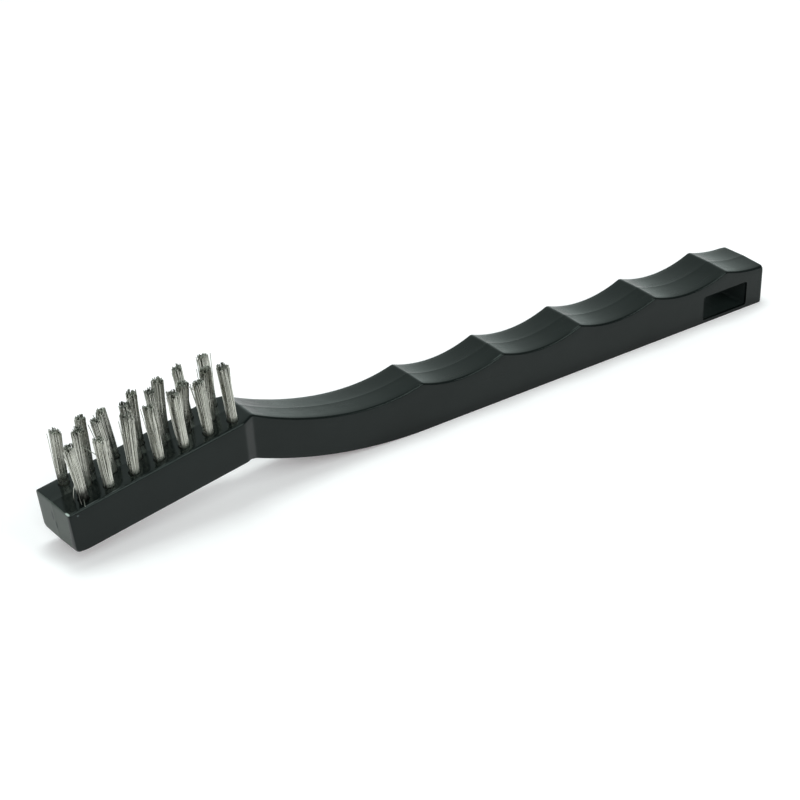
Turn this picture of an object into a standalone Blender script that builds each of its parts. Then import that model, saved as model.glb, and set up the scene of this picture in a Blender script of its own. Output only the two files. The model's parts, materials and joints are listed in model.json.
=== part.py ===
"""Wire scrub brush: a moulded handle with a pitched head, set with tufts of steel wire.

The side that carries the wires faces up. X runs from the tip of the head to the end of
the grip, Y across the brush and Z up. Z is 0 on the grip's flat underside, and X is 0
halfway along. Distances named "from the tip" start at the upper edge of the tip.
"""
import math
import random

import bmesh
import bpy
import numpy as np
from mathutils import Matrix, Vector

# Handle from the side, in metres
OVERALL_LENGTH = 0.1837
TIP_HEIGHT = 0.01223
HEAD_PITCH = math.radians(8.6)
HEAD_LENGTH = 0.04333
HEAD_THICKNESS = 0.0092
TIP_UNDER_ROUND = 0.0012
NECK_UNDER_RADIUS = 0.114
FLAT_START = 0.08663
NECK_LEAVES_HEEL = math.radians(35)
NECK_PULL_AT_HEEL = 0.0010
NECK_MEETS_GRIP = math.radians(15)
NECK_PULL_AT_GRIP = 0.0196
FIRST_RIDGE = 0.08503
FIRST_RIDGE_HEIGHT = 0.0114
END_RIDGE_HEIGHT = 0.0111
RIDGE_PITCH = 0.02167
RIDGE_LAND = 0.0004
SCALLOP_DEPTH = 0.0020
LAST_SCALLOP_DEPTH = 0.0018
END_UNDER_ROUND = 0.0010

# Handle from above
HEAD_WIDTH = 0.0124
NECK_WIDTH = 0.00995
END_WIDTH = 0.0130
SHOULDER_LENGTH = 0.0027
BACK_TO_FACE_SHARE = 0.985

# Handle's edges, sharpest under it, and the mould's draft away from the parting line
TOP_EDGE_ROUND = 0.00045
UNDER_EDGE_ROUND = 0.0002
TIP_EDGE_ROUND = 0.00025
END_EDGE_ROUND = 0.0006
PARTING_DRAFT = math.radians(1.5)

# Hanging slot, through the grip from side to side
SLOT_LENGTH = 0.0132
SLOT_HEIGHT = 0.0056
SLOT_CORNER = 0.0005
SLOT_ABOVE_FLAT = 0.0010
SLOT_TO_END = 0.00535

# Tuft holes, drilled square to the face of the head
OUTER_ROW_TUFTS = 7
FIRST_TUFT = 0.00493
LAST_TUFT_TO_HEEL = 0.0038
HOLE_DIAMETER = 0.0024
HOLE_DEPTH = 0.0060
HOLE_SIDE_WALL = 0.0014

# Anchors, each driven across the bottom of its hole
ANCHOR_THICKNESS = 0.0004
ANCHOR_HEIGHT = 0.0016
ANCHOR_BITE = 0.0004

# Tufts
TUFT_LENGTH = 0.0133
FOLD_THICKNESS = 0.0005
ROOT_BELOW_FACE = 0.0002
STRANDS_PER_TUFT = 24
STRAND_WIDTH = 0.00021
STRAND_EMBED = 0.0003
RAGGED_ENDS = 0.0005
STRAND_STRAY = 0.00004
TUFT_LEAN = 0.0003
FOOT_RADIUS_SHARE = 0.84
SPLAY_SHARE = 0.35

# Between any two pieces, and past the faces that a cutter leaves by
CLEARANCE = 0.0003
OVERRUN = 0.002

# Facets
EDGE_STEPS = 2
TIP_STEPS = 4
NECK_STEPS = 13
SCALLOP_STEPS = 12
HOLE_SIDES = 12
CORNER_STEPS = 3
STRAND_SIDES = 3
ROWS = {"left": -1, "middle": 0, "right": 1}

TIP_X = -OVERALL_LENGTH / 2
END_X = OVERALL_LENGTH / 2
HEEL_X = TIP_X + HEAD_LENGTH * math.cos(HEAD_PITCH)
HEEL_Z = TIP_HEIGHT + HEAD_LENGTH * math.sin(HEAD_PITCH)
RIDGE_X = TIP_X + FIRST_RIDGE
FLAT_X = TIP_X + FLAT_START
GOLDEN_TURN = math.pi * (3 - math.sqrt(5))


def clear_scene():
    for thing in list(bpy.data.objects):
        bpy.data.objects.remove(thing)


def make_material(name, colour, roughness, metallic):
    material = bpy.data.materials.new(name)
    material.use_nodes = True
    shader = material.node_tree.nodes["Principled BSDF"]
    shader.inputs["Base Color"].default_value = (*colour, 1.0)
    shader.inputs["Roughness"].default_value = roughness
    shader.inputs["Metallic"].default_value = metallic
    return material


def add_object(name, mesh, material=None, parent=None):
    thing = bpy.data.objects.new(name, mesh)
    bpy.context.collection.objects.link(thing)
    thing.parent = parent
    if material:
        mesh.materials.append(material)
    return thing


def add_cutter(name, mesh, parent=None):
    cutter = add_object(name, mesh, parent=parent)
    cutter.hide_render = True
    cutter.display_type = "WIRE"
    return cutter


def join_or_cut(thing, other, operation):
    modifier = thing.modifiers.new(other.name, "BOOLEAN")
    modifier.operation = operation
    modifier.solver = "EXACT"
    modifier.object = other


def mesh_from_bmesh(name, work):
    bmesh.ops.recalc_face_normals(work, faces=work.faces)
    mesh = bpy.data.meshes.new(name)
    work.to_mesh(mesh)
    work.free()
    return mesh


def add_box(work, centre, size):
    place = Matrix.Translation(centre) @ Matrix.Diagonal((*size, 1.0))
    bmesh.ops.create_cube(work, size=1.0, matrix=place)


def add_cylinder(work, centre, radius, low, high):
    place = Matrix.Translation((centre[0], centre[1], (low + high) / 2))
    bmesh.ops.create_cone(work, cap_ends=True, segments=HOLE_SIDES, radius1=radius,
                          radius2=radius, depth=high - low, matrix=place)


# The outline of the handle from the side

def rounded_off(distance, radius):
    """How far a quarter-round edge has pulled in, at a distance from the face it ends on."""
    inside = np.clip(radius - distance, 0, radius)
    return radius - np.sqrt(radius**2 - inside**2)


def scallop_top(x):
    """The thumb ridges and the arcs between them. The last arc is cut off by the end."""
    along = (x - RIDGE_X) % RIDGE_PITCH
    land = RIDGE_LAND / 2
    chord = RIDGE_PITCH - RIDGE_LAND
    depth = SCALLOP_DEPTH if END_X - x > (END_X - RIDGE_X) % RIDGE_PITCH else LAST_SCALLOP_DEPTH
    radius = chord**2 / (8 * depth) + depth / 2
    off_centre = np.clip(along - RIDGE_PITCH / 2, land - RIDGE_PITCH / 2, RIDGE_PITCH / 2 - land)
    dip = np.sqrt(radius**2 - off_centre**2) - (radius - depth)
    ridge_line = np.interp(x, [RIDGE_X, END_X], [FIRST_RIDGE_HEIGHT, END_RIDGE_HEIGHT])
    return ridge_line - dip


def neck_top(x):
    """A Bezier curve from the heel of the head down to the first ridge."""
    start = np.array([HEEL_X, HEEL_Z])
    end = np.array([RIDGE_X, FIRST_RIDGE_HEIGHT])
    leave = np.array([math.cos(NECK_LEAVES_HEEL), -math.sin(NECK_LEAVES_HEEL)])
    arrive = np.array([math.cos(NECK_MEETS_GRIP), math.sin(NECK_MEETS_GRIP)])
    t = np.linspace(0, 1, 20 * NECK_STEPS)[:, None]
    curve = ((1 - t)**3 * start
             + 3 * (1 - t)**2 * t * (start + NECK_PULL_AT_HEEL * leave)
             + 3 * (1 - t) * t**2 * (end - NECK_PULL_AT_GRIP * arrive)
             + t**3 * end)
    return np.interp(x, curve[:, 0], curve[:, 1])


def neck_under(x):
    """The arc under the neck, which runs into the grip's flat underside."""
    before_flat = np.clip(FLAT_X - x, 0, NECK_UNDER_RADIUS)
    return NECK_UNDER_RADIUS - np.sqrt(NECK_UNDER_RADIUS**2 - before_flat**2)


def head_point(along, above):
    """A point by its distance along the head's face and its height above that face."""
    x = TIP_X + along * math.cos(HEAD_PITCH) - above * math.sin(HEAD_PITCH)
    z = TIP_HEIGHT + along * math.sin(HEAD_PITCH) + above * math.cos(HEAD_PITCH)
    return x, z


def back_bend():
    """How far along the head its flat back meets the arc under the neck."""
    low, high = 0.0, FLAT_START
    for _ in range(60):
        middle = (low + high) / 2
        x, z = head_point(middle, -HEAD_THICKNESS)
        low, high = (middle, high) if z < neck_under(x) else (low, middle)
    return low


def half_width(x):
    """The plan outline: a parallel head, a shoulder that narrows to the heel, a widening grip."""
    places = [TIP_X, HEEL_X - SHOULDER_LENGTH * math.cos(HEAD_PITCH), HEEL_X, END_X]
    widths = [HEAD_WIDTH, HEAD_WIDTH, NECK_WIDTH, END_WIDTH]
    return np.interp(x, places, widths) / 2


# The handle is lofted through stations, each a top point, a bottom point and a half width

def head_stations():
    """Nearly square to the face. The back bends before the heel, where it meets the arc."""
    quarter = np.radians(np.linspace(0, 90, TIP_STEPS + 1))
    rounds = [radius * (1 - np.sin(quarter)) for radius in (TIP_EDGE_ROUND, TIP_UNDER_ROUND)]
    bends = [HEAD_LENGTH - SHOULDER_LENGTH, back_bend() / BACK_TO_FACE_SHARE, HEAD_LENGTH]
    stations = []
    for along in np.unique(np.concatenate([*rounds, bends])):
        top = head_point(along, -rounded_off(along, TIP_EDGE_ROUND))
        under = rounded_off(along, TIP_UNDER_ROUND) - HEAD_THICKNESS
        x, z = head_point(along * BACK_TO_FACE_SHARE, under)
        width = half_width(top[0]) - rounded_off(along, TIP_EDGE_ROUND)
        stations.append((top, (x, min(z, neck_under(x))), width))
    return stations


def neck_stations():
    below_heel = head_point(HEAD_LENGTH * BACK_TO_FACE_SHARE, -HEAD_THICKNESS)[0]
    tops = np.linspace(HEEL_X, RIDGE_X - RIDGE_LAND / 2, NECK_STEPS + 1)[1:]
    bottoms = np.interp(tops, [HEEL_X, RIDGE_X], [below_heel, RIDGE_X])
    return [((x, neck_top(x)), (low_x, neck_under(low_x)), half_width(x))
            for x, low_x in zip(tops, bottoms)]


def grip_stations():
    land = RIDGE_LAND / 2
    last = END_X - END_UNDER_ROUND
    ridges = np.arange(RIDGE_X, last, RIDGE_PITCH)
    steps = np.linspace(land, RIDGE_PITCH - land, SCALLOP_STEPS + 1)
    places = (ridges[:, None] + steps[None, :]).ravel()
    quarter = np.radians(np.linspace(0, 90, TIP_STEPS))
    places = np.concatenate([places[places < last - land], last + END_UNDER_ROUND * np.sin(quarter)])
    stations = []
    for x in places:
        to_end = END_X - x
        top = scallop_top(x) - rounded_off(to_end, END_EDGE_ROUND)
        bottom = neck_under(x) + rounded_off(to_end, END_UNDER_ROUND)
        width = half_width(x) - rounded_off(to_end, END_EDGE_ROUND)
        stations.append(((x, top), (x, bottom), width))
    return stations


def section(top, bottom, width):
    """One closed ring of the loft, from the middle of the underside, up and over."""
    bottom = np.array(bottom)
    up = np.array(top) - bottom
    height = np.linalg.norm(up)
    up = up / height
    crown = width * math.tan(PARTING_DRAFT)
    quarter = np.radians(np.linspace(0, 90, EDGE_STEPS + 1))
    inner = 1 - np.sin(quarter)
    outer = 1 - np.cos(quarter)
    side = width - np.concatenate([UNDER_EDGE_ROUND * inner, TOP_EDGE_ROUND * outer])
    rise = np.concatenate([UNDER_EDGE_ROUND * outer, height - TOP_EDGE_ROUND * inner])
    across = np.concatenate([[0], side, [0], -side[::-1]])
    lift = np.concatenate([[0], rise, [height + crown], rise[::-1]])
    x = bottom[0] + lift * up[0]
    z = bottom[1] + lift * up[1]
    return np.column_stack([x, across, z])


def push_out(ring, width, direction):
    """An end face has the same draft away from the parting line as the top."""
    share = 1 - np.abs(ring[:, 1]) / width
    ring[:, 0] += direction * share * width * math.tan(PARTING_DRAFT)


def handle_mesh():
    stations = head_stations() + neck_stations() + grip_stations()
    rings = [section(*station) for station in stations]
    push_out(rings[0], stations[0][2], -1)
    push_out(rings[-1], stations[-1][2], 1)
    work = bmesh.new()
    loops = [[work.verts.new(point) for point in ring] for ring in rings]
    count = len(loops[0])
    for near, far in zip(loops, loops[1:]):
        for i in range(count):
            j = (i + 1) % count
            work.faces.new((near[i], near[j], far[j], far[i]))
    for ring in (loops[0], loops[-1]):
        crest = count // 2
        work.faces.new(ring[:crest + 1])
        work.faces.new(ring[crest:] + ring[:1])
    return mesh_from_bmesh("handle", work)


def slot_mesh():
    """A rounded slot, as a prism that passes through both sides of the grip."""
    centre_x = END_X - SLOT_TO_END - SLOT_LENGTH / 2
    centre_z = SLOT_ABOVE_FLAT + SLOT_HEIGHT / 2
    reach_x = SLOT_LENGTH / 2 - SLOT_CORNER
    reach_z = SLOT_HEIGHT / 2 - SLOT_CORNER
    work = bmesh.new()
    outline = []
    for corner, (sign_x, sign_z) in enumerate(((1, 1), (-1, 1), (-1, -1), (1, -1))):
        for angle in np.radians(np.linspace(90 * corner, 90 * (corner + 1), CORNER_STEPS + 1)):
            x = centre_x + sign_x * reach_x + SLOT_CORNER * math.cos(angle)
            z = centre_z + sign_z * reach_z + SLOT_CORNER * math.sin(angle)
            outline.append(work.verts.new((x, -END_WIDTH / 2 - OVERRUN, z)))
    face = work.faces.new(outline)
    made = bmesh.ops.extrude_face_region(work, geom=[face])
    moved = [item for item in made["geom"] if isinstance(item, bmesh.types.BMVert)]
    bmesh.ops.translate(work, verts=moved, vec=(0, END_WIDTH + 2 * OVERRUN, 0))
    return mesh_from_bmesh("hang_slot_cutter", work)


# Tufts, holes and anchors are placed on the face of the head, from its upper tip edge

def tuft_places():
    """Name, distance along and distance across for each tuft. The middle row is staggered."""
    pitch = (HEAD_LENGTH - FIRST_TUFT - LAST_TUFT_TO_HEEL) / (OUTER_ROW_TUFTS - 1)
    row_spacing = HEAD_WIDTH / 2 - HOLE_SIDE_WALL - HOLE_DIAMETER / 2
    places = []
    for row, side in ROWS.items():
        stagger = 0 if side else pitch / 2
        count = OUTER_ROW_TUFTS if side else OUTER_ROW_TUFTS - 1
        for number in range(count):
            along = FIRST_TUFT + stagger + number * pitch
            places.append((f"{row}_{number + 1}", along, side * row_spacing))
    return places


def anchor_middle_height():
    """Above the hole's floor lie a clearance, the folded wires and another clearance."""
    return -HOLE_DEPTH + CLEARANCE + FOLD_THICKNESS + CLEARANCE + ANCHOR_HEIGHT / 2


def hole_meshes():
    """The drilled holes, and the pockets that the anchors' ends bite into."""
    holes = bmesh.new()
    pockets = bmesh.new()
    pocket_size = (HOLE_DIAMETER + 2 * ANCHOR_BITE + 2 * CLEARANCE,
                   ANCHOR_THICKNESS + 2 * CLEARANCE,
                   ANCHOR_HEIGHT + 2 * CLEARANCE)
    for _, along, across in tuft_places():
        add_cylinder(holes, (along, across), HOLE_DIAMETER / 2, -HOLE_DEPTH, OVERRUN)
        add_box(pockets, (along, across, anchor_middle_height()), pocket_size)
    return mesh_from_bmesh("tuft_hole_cutter", holes), mesh_from_bmesh("pocket_cutter", pockets)


def make_handle(head_face):
    black = make_material("black_plastic", (0.018, 0.021, 0.021), 0.32, 0.0)
    handle = add_object("handle", handle_mesh(), black)
    holes, pockets = hole_meshes()
    join_or_cut(handle, add_cutter("hang_slot_cutter", slot_mesh()), "DIFFERENCE")
    join_or_cut(handle, add_cutter("tuft_hole_cutter", holes, head_face), "DIFFERENCE")
    join_or_cut(handle, add_cutter("anchor_pocket_cutter", pockets, head_face), "DIFFERENCE")


def make_anchors(head_face):
    plated = make_material("anchor_metal", (0.55, 0.52, 0.45), 0.4, 1.0)
    work = bmesh.new()
    length = HOLE_DIAMETER + 2 * ANCHOR_BITE
    add_box(work, (0, 0, 0), (length, ANCHOR_THICKNESS, ANCHOR_HEIGHT))
    mesh = mesh_from_bmesh("anchor", work)
    mesh.materials.append(plated)
    for name, along, across in tuft_places():
        anchor = add_object(f"anchor_{name}", mesh, parent=head_face)
        anchor.location = (along, across, anchor_middle_height())


def root_mesh():
    """The folded root: a round bundle that passes on both sides of the anchor and under it."""
    work = bmesh.new()
    radius = HOLE_DIAMETER / 2 - CLEARANCE
    add_cylinder(work, (0, 0), radius, -HOLE_DEPTH + CLEARANCE, -ROOT_BELOW_FACE)
    return mesh_from_bmesh("tuft_root", work)


def window_mesh():
    """The room inside the fold that the anchor takes."""
    work = bmesh.new()
    size = (HOLE_DIAMETER + OVERRUN, ANCHOR_THICKNESS + 2 * CLEARANCE,
            ANCHOR_HEIGHT + 2 * CLEARANCE)
    add_box(work, (0, 0, anchor_middle_height()), size)
    return mesh_from_bmesh("fold_window", work)


def strands_mesh(name, seed):
    """Straight three-sided wires on a sunflower layout, which spread evenly and never cross."""
    chance = random.Random(seed)
    foot_radius = (HOLE_DIAMETER / 2 - CLEARANCE) * FOOT_RADIUS_SHARE
    lean = Vector((chance.uniform(-TUFT_LEAN, TUFT_LEAN), chance.uniform(-TUFT_LEAN, TUFT_LEAN), 0))
    work = bmesh.new()
    for number in range(STRANDS_PER_TUFT):
        reach = foot_radius * math.sqrt((number + 0.5) / STRANDS_PER_TUFT)
        turn = number * GOLDEN_TURN
        foot = Vector((reach * math.cos(turn), reach * math.sin(turn), 0))
        stray = Vector((chance.uniform(-STRAND_STRAY, STRAND_STRAY),
                        chance.uniform(-STRAND_STRAY, STRAND_STRAY), 0))
        tip = foot * (1 + SPLAY_SHARE) + lean + stray
        foot.z = -ROOT_BELOW_FACE - STRAND_EMBED
        tip.z = TUFT_LENGTH - chance.uniform(0, RAGGED_ENDS)
        add_strand(work, foot, tip, turn)
    return mesh_from_bmesh(name, work)


def add_strand(work, foot, tip, turn):
    corners = [turn + 2 * math.pi * i / STRAND_SIDES for i in range(STRAND_SIDES)]
    rims = []
    for end in (foot, tip):
        rims.append([work.verts.new(end + Vector((math.cos(a), math.sin(a), 0)) * STRAND_WIDTH / 2)
                     for a in corners])
    work.faces.new(rims[0])
    work.faces.new(rims[1])
    for i in range(STRAND_SIDES):
        j = (i + 1) % STRAND_SIDES
        work.faces.new((rims[0][i], rims[0][j], rims[1][j], rims[1][i]))


def make_tufts(head_face):
    steel = make_material("steel_wire", (0.60, 0.585, 0.55), 0.35, 1.0)
    root = root_mesh()
    root.materials.append(steel)
    window = window_mesh()
    for seed, (name, along, across) in enumerate(tuft_places()):
        tuft = add_object(f"tuft_{name}", root, parent=head_face)
        fold = add_cutter(f"fold_window_{name}", window, head_face)
        strands = add_cutter(f"strands_{name}", strands_mesh(f"strands_{name}", seed), head_face)
        for thing in (tuft, fold, strands):
            thing.location = (along, across, 0)
        join_or_cut(tuft, fold, "DIFFERENCE")
        join_or_cut(tuft, strands, "UNION")


def make_head_face():
    """An empty at the middle of the upper tip edge, with Z square to the head's face."""
    face = add_object("head_face", None)
    face.location = (TIP_X, 0, TIP_HEIGHT)
    face.rotation_euler = (0, -HEAD_PITCH, 0)
    return face


def main():
    clear_scene()
    head_face = make_head_face()
    make_handle(head_face)
    make_anchors(head_face)
    make_tufts(head_face)
    bpy.context.view_layer.update()


main()
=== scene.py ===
# %% [markdown]
# # A wire scratch brush, dressed over its CAD frame
#
# The object is a hand brush about as long as a pencil: one black moulded plastic handle,
# and twenty tufts of stiff steel wire in its pitched head. Its solids come packed as a
# frame, in metres, and every piece made here goes where that frame says. The dressed
# brush has to stay inside it.

# %% Load the frame
import json
import math

import bmesh
import bpy
import numpy as np
from mathutils import Matrix

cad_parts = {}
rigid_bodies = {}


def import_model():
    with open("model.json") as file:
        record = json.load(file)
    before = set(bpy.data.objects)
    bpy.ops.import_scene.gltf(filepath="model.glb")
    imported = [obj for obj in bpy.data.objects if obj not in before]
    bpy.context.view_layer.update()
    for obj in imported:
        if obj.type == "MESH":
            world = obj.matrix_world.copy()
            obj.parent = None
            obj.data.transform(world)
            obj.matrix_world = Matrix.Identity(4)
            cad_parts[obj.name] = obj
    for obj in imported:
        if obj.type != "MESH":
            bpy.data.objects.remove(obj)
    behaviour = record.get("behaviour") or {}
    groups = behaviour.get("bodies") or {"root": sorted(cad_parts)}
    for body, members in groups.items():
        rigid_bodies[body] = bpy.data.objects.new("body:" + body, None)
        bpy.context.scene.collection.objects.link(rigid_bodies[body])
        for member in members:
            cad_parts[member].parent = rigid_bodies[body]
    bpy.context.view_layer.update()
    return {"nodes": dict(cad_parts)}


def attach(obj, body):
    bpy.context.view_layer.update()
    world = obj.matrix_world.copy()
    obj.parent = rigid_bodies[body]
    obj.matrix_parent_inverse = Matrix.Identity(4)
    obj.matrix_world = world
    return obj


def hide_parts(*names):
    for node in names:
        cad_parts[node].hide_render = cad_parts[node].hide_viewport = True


for leftover in list(bpy.data.objects):
    bpy.data.objects.remove(leftover)
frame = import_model()
MM, MICRON = 1e-3, 1e-6

# %% [markdown]
# ## The camera
#
# The photograph was taken with a long lens from above the front left. Its camera was
# worked out from the parallel edges of the handle, so the render has the same
# perspective. A camera looks along its own -Z, so the columns of its matrix are the
# directions to the right, up and back towards the photographer.

# %% The camera
AZIMUTH = math.radians(-37.81)
ELEVATION = math.radians(29.50)
ROLL = math.radians(0.04)
CAMERA_PLACE = np.array([-0.27645, -0.34528, 0.25298])
LENS_MM, SENSOR_MM = 108.17, 36.0
NEAREST, FURTHEST = 0.01, 20.0


def camera_axes(azimuth, elevation, roll):
    """Back points from the brush to the camera. Right and up are square to it and to each
    other, and the roll turns them by its cosine and sine."""
    back = np.array([math.sin(azimuth) * math.cos(elevation),
                     -math.cos(azimuth) * math.cos(elevation), math.sin(elevation)])
    right = np.array([math.cos(azimuth), math.sin(azimuth), 0.0])
    up = np.cross(back, right)
    turned_right = math.cos(roll) * right + math.sin(roll) * up
    turned_up = math.cos(roll) * up - math.sin(roll) * right
    return np.column_stack([turned_right, turned_up, back])


camera_data = bpy.data.cameras.new("camera")
camera_data.lens = LENS_MM
camera_data.sensor_width = SENSOR_MM
camera_data.clip_start = NEAREST
camera_data.clip_end = FURTHEST
camera = bpy.data.objects.new("camera", camera_data)
bpy.context.scene.collection.objects.link(camera)
camera_matrix = np.eye(4)
camera_matrix[:3, :3] = camera_axes(AZIMUTH, ELEVATION, ROLL)
camera_matrix[:3, 3] = CAMERA_PLACE
camera.matrix_world = Matrix(camera_matrix.tolist())
bpy.context.scene.camera = camera
print("camera", np.round(CAMERA_PLACE, 4), "lens", LENS_MM, "mm")

# %% [markdown]
# ## From arrays to meshes
#
# Every surface below is a grid of points: one number counts along it and the other goes
# across. Four neighbouring points make one face, so one helper can turn any such grid
# into faces, and another puts points and faces into an object that rides on the frame.

# %% Mesh helpers


def grid_faces(rows, columns, round_across=False, first=0):
    """Quads between neighbouring grid points. With round_across the last column joins the first."""
    number = first + np.arange(rows * columns).reshape(rows, columns)
    if round_across:
        number = np.concatenate([number, number[:, :1]], axis=1)
    corners = (number[:-1, :-1], number[:-1, 1:], number[1:, 1:], number[1:, :-1])
    return np.stack(corners, axis=-1).reshape(-1, 4)


def add_piece(name, points, faces, material, node=None, slot=None):
    """An object at the origin whose place is in its mesh. With a slot it rides on the frame."""
    mesh = bpy.data.meshes.new(name)
    mesh.from_pydata(np.asarray(points).reshape(-1, 3).tolist(), [], faces)
    mesh.validate()
    mesh.materials.append(material)
    piece = bpy.data.objects.new(name, mesh)
    bpy.context.scene.collection.objects.link(piece)
    if slot:
        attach(piece, "root")
    if node:
        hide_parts(node)
    return piece


def smooth_surface(piece, sharp_angle):
    """Smooth shading that still breaks at edges sharper than the angle."""
    piece.data.shade_smooth()
    piece.data.set_sharp_from_angle(angle=math.radians(sharp_angle))


# %% [markdown]
# ## The sizes of the handle
#
# These are the sizes that the CAD handle is built from, in millimetres. The head is
# pitched up by 8.6 degrees, the neck drops from the heel of the head in one long curve,
# and the grip has thumb ridges with arcs between them. Only small radii differ from the
# CAD ones, by 0.7 mm at most, because many faces can show what few facets can't: along
# the upper edge, under the tip, over the end, and in the corners where the lower edge
# meets the tip and the upper edge meets the end.

# %% Sizes of the handle, in millimetres
LENGTH, TIP_HEIGHT = 183.7, 12.23
PITCH = math.radians(8.6)
HEAD_LENGTH, HEAD_THICKNESS, BACK_SHARE = 43.33, 9.2, 0.985
FLAT_START, UNDER_RADIUS = 86.63, 114.0
FIRST_RIDGE, RIDGE_PITCH, RIDGE_LAND = 85.03, 21.67, 0.4
RIDGE_HEIGHTS = (11.4, 11.1)
SCALLOP_DEPTH, LAST_SCALLOP_DEPTH = 2.0, 1.8
HEAD_WIDTH, NECK_WIDTH, END_WIDTH, SHOULDER_LENGTH = 12.4, 9.95, 13.0, 2.7
TIP_EDGE_ROUND, TIP_UNDER_ROUND = 0.25, 0.9
END_EDGE_ROUND, END_UNDER_ROUND = 0.75, 1.0
TOP_EDGE_ROUND, UNDER_EDGE_ROUND = 0.52, 0.2
TIP_CORNER_ROUND, END_CORNER_ROUND = 0.9, 0.95
TIP_CORNER_REACH, END_CORNER_REACH = 1.6, 1.4
NECK_LEAVES_HEEL, NECK_PULL_AT_HEEL = math.radians(35), 1.0
NECK_MEETS_GRIP, NECK_PULL_AT_GRIP = math.radians(15), 19.6
SHOULDER_SOFTNESS = 0.35
TOP_BLUR, UNDER_BLUR = 0.20, 0.12
HEEL_BLUR, HEEL_REACH = 0.42, 1.5
DRAFT = math.tan(math.radians(1.5))

TIP_X, END_X = -LENGTH / 2, LENGTH / 2
HEEL_X = TIP_X + HEAD_LENGTH * math.cos(PITCH)
HEEL_Z = TIP_HEIGHT + HEAD_LENGTH * math.sin(PITCH)
RIDGE_X, FLAT_X = TIP_X + FIRST_RIDGE, TIP_X + FLAT_START
RIDGES = np.arange(RIDGE_X, END_X, RIDGE_PITCH)
print("heel at", round(HEEL_X, 2), round(HEEL_Z, 2), "ridges at", np.round(RIDGES, 2))

# %% [markdown]
# ## The outline of the handle
#
# Seen from the side, the handle is a top line and an under line. Each is a plain function
# of x. A real moulding has no perfectly sharp corner, so both lines are sampled every
# 0.02 mm and then averaged under a narrow bell curve: 0.12 mm wide below, 0.2 mm wide on
# top and 0.42 mm wide at the heel, which the photograph shows softer than the ridges.

# %% The outline from the side


def on_head(along, above):
    """x and z of a point, by its distance along the face of the head and its height above it."""
    x = TIP_X + along * math.cos(PITCH) - above * math.sin(PITCH)
    z = TIP_HEIGHT + along * math.sin(PITCH) + above * math.cos(PITCH)
    return x, z


def scallops(x):
    """A straight line over the ridges, less an arc of a circle between each two of them."""
    along = (x - RIDGE_X) % RIDGE_PITCH
    chord = RIDGE_PITCH - RIDGE_LAND
    depth = np.where(x > RIDGES[-1], LAST_SCALLOP_DEPTH, SCALLOP_DEPTH)
    radius = chord**2 / (8 * depth) + depth / 2
    off_centre = np.clip(along - RIDGE_PITCH / 2, -chord / 2, chord / 2)
    dip = np.sqrt(radius**2 - off_centre**2) - (radius - depth)
    return np.interp(x, [RIDGE_X, END_X], RIDGE_HEIGHTS) - dip


def neck_curve(t):
    """A Bezier curve: a sum of four points, weighted by the powers of t and of 1 - t."""
    t = t[:, None]
    start, end = np.array([HEEL_X, HEEL_Z]), np.array([RIDGE_X, RIDGE_HEIGHTS[0]])
    down_from_heel = np.array([math.cos(NECK_LEAVES_HEEL), -math.sin(NECK_LEAVES_HEEL)])
    up_to_grip = np.array([math.cos(NECK_MEETS_GRIP), math.sin(NECK_MEETS_GRIP)])
    leave = start + NECK_PULL_AT_HEEL * down_from_heel
    arrive = end - NECK_PULL_AT_GRIP * up_to_grip
    return ((1 - t)**3 * start + 3 * (1 - t)**2 * t * leave
            + 3 * (1 - t) * t**2 * arrive + t**3 * end)


def averaged(x, z, width):
    """Each height becomes the mean of its neighbours, weighted by a bell curve of that width."""
    step = x[1] - x[0]
    reach = int(4 * width / step)
    bell = np.exp(-0.5 * (np.arange(-reach, reach + 1) * step / width)**2)
    slopes = (z[1] - z[0]) / step, (z[-1] - z[-2]) / step
    steps = np.arange(1, reach + 1) * step
    padded = np.concatenate([z[0] - slopes[0] * steps[::-1], z, z[-1] + slopes[1] * steps])
    return np.convolve(padded, bell / bell.sum(), mode="valid")


fine_x = np.linspace(TIP_X - 1, END_X + 1, 9300)
curve = neck_curve(np.linspace(0, 1, 400))
top_z = np.where(fine_x < HEEL_X, TIP_HEIGHT + (fine_x - TIP_X) * math.tan(PITCH),
                 np.where(fine_x < RIDGE_X, np.interp(fine_x, curve[:, 0], curve[:, 1]),
                          scallops(fine_x)))
back_start_x, back_start_z = on_head(0, -HEAD_THICKNESS)
back_z = back_start_z + (fine_x - back_start_x) * math.tan(PITCH)
arc_z = UNDER_RADIUS - np.sqrt(UNDER_RADIUS**2 - np.clip(FLAT_X - fine_x, 0, UNDER_RADIUS)**2)
near_heel = np.exp(-((fine_x - HEEL_X) / HEEL_REACH)**2)
top_z = ((1 - near_heel) * averaged(fine_x, top_z, TOP_BLUR)
         + near_heel * averaged(fine_x, top_z, HEEL_BLUR))
under_z = averaged(fine_x, np.minimum(back_z, arc_z), UNDER_BLUR)
print("top line from", round(top_z.min(), 2), "to", round(top_z.max(), 2), "mm")

# %% [markdown]
# ## The stations of the handle
#
# The handle is a loft: a closed ring of points is carried along it and changes its height
# and width on the way. Each ring is a station. Stations stand close together where the
# outline bends, at the rounded ends, the shoulder, the heel and the ridges, and further
# apart where it runs straight. In the head they lean with the head.

# %% Stations along the handle
EVEN_STEP, LEAST_STEP = 0.5, 0.02
BEND_STEP, BEND_REACH = 0.07, 0.70
CREST_STEP, CREST_REACH = 0.14, 1.6


def quarter_round(distance, radius):
    """How far a rounded edge has pulled in, at a distance from the face that it ends on."""
    inside = np.clip(radius - distance, 0, radius)
    return radius - np.sqrt(radius**2 - inside**2)


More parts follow.
